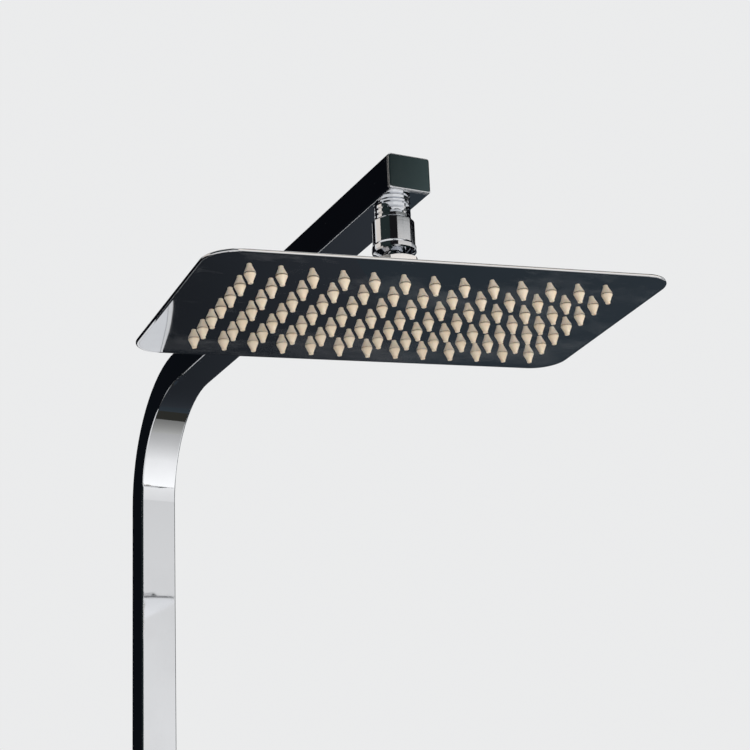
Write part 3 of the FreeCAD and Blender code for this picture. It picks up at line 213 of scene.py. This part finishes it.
FINISHES = {
    "tube_chrome": plated("tube_chrome", CHROME, 0.02, 0.055, grain=(1.0, 1.0, 0.02), edge=0.0007),
    "fitting_chrome": plated("fitting_chrome", CHROME, 0.03, 0.08, grain=(0.05, 0.05, 1.0)),
    "mixer_chrome": plated("mixer_chrome", CHROME, 0.03, 0.09, grain=(0.03, 1.0, 1.0), edge=0.0008),
    "cover_chrome": plated("cover_chrome", CHROME, 0.03, 0.09, grain=(1.0, 1.0, 1.0)),
    "knob_chrome": plated("knob_chrome", CHROME, 0.035, 0.09, grain=(0.05, 1.0, 1.0)),
    "polished_steel": plated("polished_steel", FACE_STEEL, 0.008, 0.045, grain=(0.04, 1.0, 1.0),
                             smear=9.0, film=0.12),
    "head_steel": plated("head_steel", PAN_STEEL, 0.02, 0.06, grain=(0.04, 1.0, 1.0)),
    "steel_parts": plated("steel_parts", PLAIN_STEEL, 0.18, 0.30),
    "bracket_post": plated("bracket_post", CHROME, 0.03, 0.09),
    "silicone": silicone(),
    "seal_rubber": moulded("seal_rubber", (0.03, 0.03, 0.032), 0.62),
    "inner_plastic": moulded("inner_plastic", (0.80, 0.80, 0.77), 0.45),
    "brass_parts": plated("brass_parts", BRASS, 0.16, 0.30),
    "button_plastic": moulded("button_plastic", (0.62, 0.03, 0.025), 0.28),
    "mark_black": moulded("mark_black", (0.025, 0.025, 0.028), 0.35),
    "mark_blue": moulded("mark_blue", (0.02, 0.10, 0.55), 0.3),
}


def dress_frame():
    """Every CAD node takes the finish of its slot."""
    for row in frame["record"]["subparts"]:
        mesh = nodes[row["node"]].data
        mesh.materials.clear()
        mesh.materials.append(FINISHES[row["material_slot"]])


dress_frame()

# ---------------------------------------------------------------- how a piece is made

CORNERS = [(-1, -1), (1, -1), (1, 1), (-1, 1)]


def turns(steps):
    """The angles of even steps round a circle."""
    return [2 * math.pi * i / steps for i in range(steps)]


def rectangle(centre, half, steps):
    """Points round a rectangle, anticlockwise, with a count of steps for its X and Y sides."""
    border = []
    for k, (start, end) in enumerate(zip(CORNERS, CORNERS[1:] + CORNERS[:1])):
        for i in range(steps[k % 2]):
            t = i / steps[k % 2]
            border.append(tuple(centre[n] + (start[n] + (end[n] - start[n]) * t) * half[n]
                                for n in (0, 1)))
    return border


def between(first, second, t):
    """The points that lie t of the way from one row of points to another."""
    return [(ax + (bx - ax) * t, ay + (by - ay) * t) for (ax, ay), (bx, by) in zip(first, second)]


class Skin:
    """Points, each kept once, and the faces between them, in millimetres."""

    def __init__(self):
        self.points, self.faces, self.sharp, self.known = [], [], set(), {}

    def point(self, place, hard=False):
        """The number of the point at a place; an edge from one hard point to another is sharp."""
        key = tuple(round(value, 4) for value in place)
        if key not in self.known:
            self.known[key] = len(self.points)
            self.points.append(key)
        if hard:
            self.sharp.add(self.known[key])
        return self.known[key]

    def strip(self, first, second):
        """The faces from one ring of points to another."""
        for i in range(len(first)):
            j = (i + 1) % len(first)
            self.faces.append((first[i], first[j], second[j], second[i]))

    def sleeve(self, rings):
        """A strip from each ring to the next."""
        for first, second in zip(rings, rings[1:]):
            self.strip(first, second)

    def cap(self, ring):
        """One face that closes a ring."""
        self.faces.append(tuple(ring))

    def piece(self, name, body, slot_name, place=None, node=None, finish=None):
        """The object made of this skin, smooth but for its sharp edges."""
        mesh = bpy.data.meshes.new(name)
        mesh.from_pydata([Vector(point) * MM for point in self.points], [], self.faces)
        mesh.materials.append(FINISHES[finish or slot_name])
        mesh.polygons.foreach_set("use_smooth", [True] * len(mesh.polygons))
        for edge in mesh.edges:
            edge.use_edge_sharp = all(index in self.sharp for index in edge.vertices)
        if place is not None:
            mesh.transform(place)
        made = link(bpy.data.objects.new(name, mesh))
        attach(made, body)
        if node:
            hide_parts(node)
        return made


# ---------------------------------------------------------------- the head's polished underside

HEAD_PIVOT = Vector((0.0, -501.0, 1009.0))
HEAD_TURN, HEAD_ROCK = math.radians(-4.0), math.radians(-3.0)
HEAD_PLACE = (Matrix.Translation(HEAD_PIVOT * MM) @ Matrix.Rotation(HEAD_TURN, 4, "Z")
              @ Matrix.Rotation(HEAD_ROCK, 4, "Y"))
FACE_HALF = (147.92, 84.92)
FACE_CORNER = 17.92
FACE_LOW, FACE_SHEET, FACE_CROWN = -27.0, 1.0, 3.0
FACE_SIDES = ((0.0, 1), (FACE_SHEET, -1))  # each side's lift, and which way its rings run
NOZZLES = (13, 7)
PITCH = (19.4, 18.7)
HOLE_RADIUS = 2.9
CELL_STEPS = 6
MARGIN_RINGS = 6


def face_height(x, y):
    """The plate's underside: its middle hangs lower than its edges."""
    u, v = x / FACE_HALF[0], y / FACE_HALF[1]
    return FACE_LOW - FACE_CROWN * (1 - u * u) * (1 - v * v)


def face_edge(x, y):
    """The point of the plate's outline that a point of the plain rectangle moves to."""
    turn = [half - FACE_CORNER for half in FACE_HALF]
    if abs(x) <= turn[0] or abs(y) <= turn[1]:
        return x, y
    centre = Vector((math.copysign(turn[0], x), math.copysign(turn[1], y)))
    spot = centre + (Vector((x, y)) - centre).normalized() * FACE_CORNER
    return spot.x, spot.y


def nozzle_centres():
    """The middle of each hole, from the corner at low X and Y."""
    for i in range(NOZZLES[0]):
        for j in range(NOZZLES[1]):
            yield (i - (NOZZLES[0] - 1) / 2) * PITCH[0], (j - (NOZZLES[1] - 1) / 2) * PITCH[1]


def face_plate():
    """The polished underside, smooth right up to the edges of its holes."""
    skin = Skin()

    def ring(spots, lift, hard=False):
        return [skin.point((x, y, face_height(x, y) + lift), hard) for x, y in spots]

    for cx, cy in nozzle_centres():
        border = rectangle((cx, cy), [pitch / 2 for pitch in PITCH], (CELL_STEPS, CELL_STEPS))
        angles = [math.atan2(y - cy, x - cx) for x, y in border]
        hole = [(cx + HOLE_RADIUS * math.cos(a), cy + HOLE_RADIUS * math.sin(a)) for a in angles]
        middle = between(hole, border, 0.5)
        for lift, turn in FACE_SIDES:
            rings = [ring(hole, lift, True), ring(middle, lift), ring(border, lift)]
            skin.sleeve([row[::turn] for row in rings])
        skin.strip(ring(hole, FACE_SHEET, True), ring(hole, 0.0, True))
    field = [count * pitch / 2 for count, pitch in zip(NOZZLES, PITCH)]
    inner = rectangle((0.0, 0.0), field, [count * CELL_STEPS for count in NOZZLES])
    outer = [face_edge(x / field[0] * FACE_HALF[0], y / field[1] * FACE_HALF[1]) for x, y in inner]
    for lift, turn in FACE_SIDES:
        rings = [ring(between(inner, outer, step / MARGIN_RINGS), lift, step == MARGIN_RINGS)
                 for step in range(MARGIN_RINGS + 1)]
        skin.sleeve([row[::turn] for row in rings])
    skin.strip(ring(outer, 0.0, True), ring(outer, FACE_SHEET, True))
    skin.piece("face_plate_polished", "rain_head", "polished_steel", HEAD_PLACE, "face_plate")


# ---------------------------------------------------------------- the hand shower's outlet

MIXER_AXIS_Y, MIXER_AXIS_Z, MIXER_HALF = -52.0, 8.0, 21.0
HOSE_TOP, HOSE_COLLAR_LOW, HOSE_END = -13.05, -18.0, -28.0
HOSE_CORNER, HOSE_BORE = 13.86, 5.5
HOSE_BEVEL, HOSE_BEVEL_HEIGHT = 0.7, 0.42
COLLAR_LAP = 0.001
THREAD_TOP, THREAD_ROOT, THREAD_PITCH = 10.48, 9.35, 1.814
THREAD_FLANK, THREAD_FLAT = 1.25, 0.125
THREAD_END_INSET, THREAD_END_SLOPE = 0.1, 1.2
THREAD_STEPS, THREAD_RINGS = 48, 60
HEXAGON = 6


def hose_outlet():
    """Hexagon collar and a real cut thread, for the hand shower's hose."""
    skin = Skin()

    def spot(radius, angle, z, hard=False):
        return skin.point((radius * math.cos(angle), MIXER_AXIS_Y + radius * math.sin(angle), z), hard)

    def ring(radius, z, steps=THREAD_STEPS, hard=False):
        return [spot(radius, angle, z, hard) for angle in turns(steps)]

    def cut(angle, z):
        """The thread's radius: a ridge that climbs once round in each pitch, and a bevelled end."""
        wave = (z / THREAD_PITCH - angle / (2 * math.pi)) % 1.0
        ridge = min(max(THREAD_FLANK * (1 - abs(2 * wave - 1)) - THREAD_FLAT, 0.0), 1.0)
        bevel = THREAD_ROOT - THREAD_END_INSET + (z - HOSE_END) * THREAD_END_SLOPE
        return min(THREAD_ROOT + (THREAD_TOP - THREAD_ROOT) * ridge, bevel)

    heights = [HOSE_END + (HOSE_COLLAR_LOW - HOSE_END) * k / THREAD_RINGS
               for k in range(THREAD_RINGS + 1)]
    thread = [[spot(cut(angle, z), angle, z) for angle in turns(THREAD_STEPS)] for z in heights]
    skin.sleeve(thread)
    bore = [ring(HOSE_BORE, z) for z in (HOSE_COLLAR_LOW, HOSE_END)]
    skin.sleeve([*bore, thread[0]])
    skin.cap(bore[0])
    skin.cap(reversed(thread[-1]))
    collar = [ring(radius, z, HEXAGON, True) for radius, z in (
        (HOSE_CORNER - HOSE_BEVEL, HOSE_COLLAR_LOW - COLLAR_LAP),
        (HOSE_CORNER, HOSE_COLLAR_LOW + HOSE_BEVEL_HEIGHT),
        (HOSE_CORNER, HOSE_TOP - HOSE_BEVEL_HEIGHT),
        (HOSE_CORNER - HOSE_BEVEL, HOSE_TOP))]
    skin.sleeve(collar)
    skin.cap(reversed(collar[0]))
    skin.cap(collar[-1])
    skin.piece("hand_outlet_threaded", "column", "fitting_chrome", node="hand_outlet")


# ---------------------------------------------------------------- the stop button's spring

SPRING_RADIUS, SPRING_WIRE = 2.4, 0.25  # of the coil, and of its wire
SPRING_END_TURN, SPRING_TURNS = 0.52, 5
SPRING_STEPS, WIRE_STEPS = 24, 8


def spring_height(turn, first, last):
    """The wire's height after so many turns; the turn at each end climbs only a little."""
    if turn < 1:
        return first + SPRING_END_TURN * turn
    if turn > SPRING_TURNS - 1:
        return last - SPRING_END_TURN * (SPRING_TURNS - turn)
    low, high = first + SPRING_END_TURN, last - SPRING_END_TURN
    return low + (high - low) * ((turn - 1) / (SPRING_TURNS - 2))


def stop_spring():
    """The stop button's spring: a closed turn at each end."""
    low, high = [Vector(corner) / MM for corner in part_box("button_spring")]
    middle = (low + high) / 2
    skin, rings = Skin(), []
    for k in range(SPRING_TURNS * SPRING_STEPS + 1):
        turn = k / SPRING_STEPS
        angle = 2 * math.pi * turn
        height = spring_height(turn, low.z + SPRING_WIRE, high.z - SPRING_WIRE)
        ring = []
        for around in turns(WIRE_STEPS):
            reach = SPRING_RADIUS + SPRING_WIRE * math.cos(around)
            ring.append(skin.point((middle.x + reach * math.cos(angle),
                                    middle.y + reach * math.sin(angle),
                                    height + SPRING_WIRE * math.sin(around))))
        rings.append(ring)
    skin.sleeve(rings[::-1])
    skin.cap(rings[0])
    skin.cap(reversed(rings[-1]))
    made = skin.piece("button_spring_coil", "thermostat_control", "steel_parts", node="button_spring")
    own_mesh(made)


# ---------------------------------------------------------------- marks on the controls

KNOB_X, KNOB_HALF = 99.0, 19.0
KNOB_TOP, KNOB_FRONT = MIXER_AXIS_Z + KNOB_HALF, MIXER_AXIS_Y - KNOB_HALF
MIXER_TOP = MIXER_AXIS_Z + MIXER_HALF
FIGURE_SIZE, FIGURE_THICKNESS = 6.0, 0.06
INDEX_X = 85.0
INDEX_BAR = (7.0, 0.9)
DOT_SIZE, DOT_RISE = (3.0, 3.0), 9.0
SIGN_X = -84.0
DROP_PITCH = 2.0
DOT_STEPS = 24
DOT_PROFILE = ((1.0, 0.0), (1.0, 0.05), (0.9, 0.11), (0.55, 0.15))  # share of the size, and height


def words(name, text, size, place, body):
    """Enamelled figures, laid on a flat face that looks up."""
    curve = bpy.data.curves.new(name, "FONT")
    curve.body, curve.size, curve.extrude = text, size * MM, FIGURE_THICKNESS * MM
    curve.align_x, curve.align_y = "CENTER", "CENTER"
    source = bpy.data.objects.new(name + "_source", curve)
    mesh = bpy.data.meshes.new_from_object(source)
    bpy.data.objects.remove(source)
    mesh.transform(Matrix.Translation(Vector(place) * MM))
    mesh.materials.clear()
    mesh.materials.append(FINISHES["mark_black"])
    made = link(bpy.data.objects.new(name, mesh))
    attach(made, body)


def dot(name, place, size, body, finish, upright=False):
    """A low enamelled dome, round or drawn out into a bar, on a face that looks up, or out."""
    skin = Skin()
    rings = [[skin.point((size[0] / 2 * share * math.cos(angle),
                          size[1] / 2 * share * math.sin(angle), height))
              for angle in turns(DOT_STEPS)] for share, height in DOT_PROFILE]
    skin.sleeve(rings)
    skin.cap(rings[-1])
    skin.cap(reversed(rings[0]))
    turn = Matrix.Rotation(math.radians(90.0 if upright else 0.0), 4, "X")
    skin.piece(name, body, "button_plastic", Matrix.Translation(Vector(place) * MM) @ turn,
               finish=finish)


def marks():
    """Temperature figures and dots on the thermostat, and signs for the two outlets."""
    words("figure_38", "38", FIGURE_SIZE, (KNOB_X, MIXER_AXIS_Y, KNOB_TOP), "thermostat_control")
    dot("dot_cold", (KNOB_X, KNOB_FRONT, MIXER_AXIS_Z + DOT_RISE), DOT_SIZE, "thermostat_control",
        "mark_blue", upright=True)
    dot("dot_hot", (KNOB_X, KNOB_FRONT, MIXER_AXIS_Z - DOT_RISE), DOT_SIZE, "thermostat_control",
        "button_plastic", upright=True)
    dot("index_right", (INDEX_X, MIXER_AXIS_Y, MIXER_TOP), INDEX_BAR, "column", "mark_black")
    dot("index_left", (-KNOB_X, MIXER_AXIS_Y, KNOB_TOP), INDEX_BAR, "diverter_control", "mark_black")
    dot("sign_rain_bar", (SIGN_X, -48.0, MIXER_TOP), (6.0, 0.9), "column", "mark_black")
    for number in range(3):
        dot("sign_rain_drop_%d" % number, (SIGN_X + (number - 1) * DROP_PITCH, -50.6, MIXER_TOP),
            (0.8, 2.0), "column", "mark_black")
    dot("sign_hand_disc", (SIGN_X, -58.0, MIXER_TOP), (2.6, 2.6), "column", "mark_black")
    dot("sign_hand_grip", (SIGN_X, -61.4, MIXER_TOP), (0.9, 3.6), "column", "mark_black")


face_plate()
hose_outlet()
stop_spring()
marks()

# ---------------------------------------------------------------- the stage

STAGE_CENTRE = Vector((0.0, -0.45, 1.0))
FLOOR_HEIGHT, FLOOR_HALF = -0.92, 9.0
CARD_REACH, NEAR_CARD_REACH = 14.0, 13.5
CARD_COLUMNS, CARD_ROWS = 24, 10
WALL_FLAG_Y, WALL_FLAG_TOP = 0.1, 1.25
BACKDROP = (0.83, 0.835, 0.84)
SKY, SKY_STRENGTH = (0.96, 0.98, 1.0), 0.45


def towards(bearing, rise, reach):
    """A point of the stage: bearing is turned from +Y to +X, rise is above level, in degrees."""
    a, e = math.radians(bearing), math.radians(rise)
    ahead = Vector((math.sin(a) * math.cos(e), math.cos(a) * math.cos(e), math.sin(e)))
    return STAGE_CENTRE + ahead * reach


def glow(name, colour, low, high, along):
    """A card's finish: a glow whose strength goes from low at its foot, or near end, to high."""
    made = bpy.data.materials.new(name)
    made.use_nodes = True
    tree = made.node_tree
    tree.nodes.remove(tree.nodes["Principled BSDF"])
    light = tree.nodes.new("ShaderNodeEmission")
    light.inputs["Color"].default_value = (*colour, 1.0)
    across = tree.nodes.new("ShaderNodeSeparateXYZ")
    tree.links.new(tree.nodes.new("ShaderNodeTexCoord").outputs["Generated"], across.inputs[0])
    climb = tree.nodes.new("ShaderNodeMapRange")
    climb.inputs["To Min"].default_value = low
    climb.inputs["To Max"].default_value = high
    tree.links.new(across.outputs[along], climb.inputs["Value"])
    tree.links.new(climb.outputs["Result"], light.inputs["Strength"])
    tree.links.new(light.outputs[0], tree.nodes["Material Output"].inputs["Surface"])
    return made


def hang(name, points, faces, finish):
    """A studio card, black or bright, which shows only in what metal mirrors."""
    mesh = bpy.data.meshes.new(name)
    mesh.from_pydata(points, [], faces)
    mesh.materials.append(finish)
    made = link(bpy.data.objects.new(name, mesh))
    for ray in ("camera", "diffuse", "shadow", "transmission"):
        setattr(made, "visible_" + ray, False)


def card(name, bearings, rises, colour, low=1.0, high=1.0, reach=CARD_REACH, along="Z"):
    """A far curved card, from one bearing and rise to another."""
    points, faces = [], []
    for i in range(CARD_COLUMNS + 1):
        bearing = bearings[0] + (bearings[1] - bearings[0]) * i / CARD_COLUMNS
        for j in range(CARD_ROWS + 1):
            rise = rises[0] + (rises[1] - rises[0]) * j / CARD_ROWS
            points.append(towards(bearing, rise, reach))
    for i in range(CARD_COLUMNS):
        for j in range(CARD_ROWS):
            here = i * (CARD_ROWS + 1) + j
            beside = here + CARD_ROWS + 1
            faces.append((here, beside, beside + 1, here + 1))
    hang(name, points, faces, glow(name, colour, low, high, along))


def wall_flag(name, start, end, colour, low=1.0):
    """A dark flag just behind the wall's plane, from one X to another, with straight ends."""
    points = [(x, WALL_FLAG_Y, z) for x, z in ((start, FLOOR_HEIGHT), (end, FLOOR_HEIGHT),
                                               (end, WALL_FLAG_TOP), (start, WALL_FLAG_TOP))]
    hang(name, points, [(0, 1, 2, 3)], glow(name, colour, low, 1.0, "X"))


def floor():
    """A matt pale floor, below the column, which metal doesn't mirror."""
    mesh = bpy.data.meshes.new("floor")
    corners = [(x * FLOOR_HALF, y * FLOOR_HALF, 0.0) for x, y in CORNERS]
    mesh.from_pydata(corners, [], [(0, 1, 2, 3)])
    paint = Finish("floor", (0.82, 0.82, 0.82), 0.0, 0.9)
    paint.level("Specular IOR Level", 0.0)
    mesh.materials.append(paint.made)
    made = link(bpy.data.objects.new("floor", mesh))
    made.location.z = FLOOR_HEIGHT
    made.visible_glossy = False


def lamp(name, bearing, rise, reach, size, watts, colour=(1.0, 1.0, 1.0)):
    """A soft lamp that lights the object, and leaves its mirror image to the cards."""
    data = bpy.data.lights.new(name, "AREA")
    data.shape = "RECTANGLE"
    data.size, data.size_y = size
    data.energy = watts
    data.color = colour
    made = link(bpy.data.objects.new(name, data))
    made.location = towards(bearing, rise, reach)
    made.rotation_euler = (STAGE_CENTRE - made.location).to_track_quat("-Z", "Y").to_euler()
    made.visible_camera = False
    made.visible_glossy = False


def world():
    """Pale to the camera and in metal, and a softer sky for the light on the object."""
    made = bpy.data.worlds.new("studio")
    bpy.context.scene.world = made
    made.use_nodes = True
    tree = made.node_tree
    pale = tree.nodes["Background"]
    pale.inputs["Color"].default_value = (*BACKDROP, 1.0)
    soft = tree.nodes.new("ShaderNodeBackground")
    soft.inputs["Color"].default_value = (*SKY, 1.0)
    soft.inputs["Strength"].default_value = SKY_STRENGTH
    rays = tree.nodes.new("ShaderNodeLightPath")
    mix = tree.nodes.new("ShaderNodeMixShader")
    seen = rays.outputs["Is Camera Ray"]
    for kind in ("Is Glossy Ray", "Is Transmission Ray"):
        most = tree.nodes.new("ShaderNodeMath")
        most.operation = "MAXIMUM"
        tree.links.new(seen, most.inputs[0])
        tree.links.new(rays.outputs[kind], most.inputs[1])
        seen = most.outputs[0]
    tree.links.new(seen, mix.inputs["Fac"])
    tree.links.new(soft.outputs[0], mix.inputs[1])
    tree.links.new(pale.outputs[0], mix.inputs[2])
    tree.links.new(mix.outputs[0], tree.nodes["World Output"].inputs["Surface"])


floor()
world()
lamp("key", 146, 8, 3.4, (3.0, 2.0), 54.0)
lamp("warm_side", 296, 14, 3.4, (2.0, 2.0), 14.0, (1.0, 0.90, 0.80))
lamp("top", 150, 72, 3.0, (2.0, 2.0), 18.0)
lamp("low_front", 170, -20, 3.0, (2.5, 1.5), 34.0, (1.0, 0.97, 0.93))

# What the metal mirrors: one bright area, whose glow fades downwards, and the dark room round it.
card("low_dark", (20, 104), (-90, -55), (0.030, 0.030, 0.026))
card("low_glow", (104, 200), (-90, -60), (1.0, 1.0, 0.97), low=0.0, high=0.48)
card("key_low", (100, 200), (-60, -30), (1.0, 1.0, 1.0), low=0.48, high=1.0)
card("key_middle", (105, 200), (-30, 0), (1.0, 1.0, 1.0), low=1.0, high=1.25)
card("key_high", (105, 184), (0, 23.6), (1.0, 1.0, 1.0), low=1.0, high=0.64)
card("warm_screen", (280, 312), (-4, 45), (0.82, 0.76, 0.70))
card("rear_flag", (322, 465), (2, 58), (0.003, 0.0035, 0.005))
card("front_flag", (184, 225), (2, 58), (0.010, 0.010, 0.011))
card("left_flag", (225, 280), (2, 58), (0.020, 0.030, 0.030))
card("high_flag", (105, 184), (23.6, 58), (0.012, 0.022, 0.022))
# Nearer cards: two for the bright band on the head's rim, and one that the arm's end shows.
card("rim_key", (105, 184), (20.8, 22.6), (1.0, 0.92, 0.84), low=1.15, high=1.15,
     reach=NEAR_CARD_REACH)
card("rim_side", (28, 105), (20.8, 22.8), (0.95, 0.98, 1.0), reach=NEAR_CARD_REACH)
card("end_glow", (149.0, 153.6), (23.5, 25.7), (0.020, 0.029, 0.029), low=0.7, high=5.0,
     reach=NEAR_CARD_REACH, along="X")
wall_flag("wall_flag_near", 0.08, 0.32, (0.031, 0.036, 0.044), 0.56)
wall_flag("wall_flag_middle", 0.32, 0.75, (0.036, 0.047, 0.058), 0.80)
wall_flag("wall_flag_far", 0.75, 2.4, (0.036, 0.047, 0.058))
wall_flag("wall_flag_left", -2.4, 0.03, (0.004, 0.005, 0.007))

# ---------------------------------------------------------------- the camera

# The photograph's own view. The look is in radians: its bearing from +Y to +X, its rise, its roll.
LOOK_BEARING, LOOK_RISE, LOOK_ROLL = 0.4586, 0.3340, -0.0411
CAMERA_PLACE = Vector((-533.6, -1547.2, 536.0)) * MM
FOCAL_PIXELS, FRAME_PIXELS = 2019.0, 750
SENSOR = 36.0
CLIP_END = 60.0


def camera():
    """A camera turned by the look's bearing and rise, then rolled about its own axis."""
    data = bpy.data.cameras.new("camera")
    data.sensor_width = SENSOR
    data.lens = FOCAL_PIXELS / FRAME_PIXELS * SENSOR
    data.clip_end = CLIP_END
    level = Vector((math.sin(LOOK_BEARING), math.cos(LOOK_BEARING), 0.0))
    up = Vector((0.0, 0.0, 1.0))
    ahead = level * math.cos(LOOK_RISE) + up * math.sin(LOOK_RISE)
    across = Vector((math.cos(LOOK_BEARING), -math.sin(LOOK_BEARING), 0.0))
    above = up * math.cos(LOOK_RISE) - level * math.sin(LOOK_RISE)
    right = across * math.cos(LOOK_ROLL) + above * math.sin(LOOK_ROLL)
    top = above * math.cos(LOOK_ROLL) - across * math.sin(LOOK_ROLL)
    made = link(bpy.data.objects.new("camera", data))
    made.matrix_world = Matrix((right, top, -ahead)).transposed().to_4x4()
    made.matrix_world.translation = CAMERA_PLACE
    bpy.context.scene.camera = made


camera()
bpy.context.scene.view_settings.view_transform = "Standard"
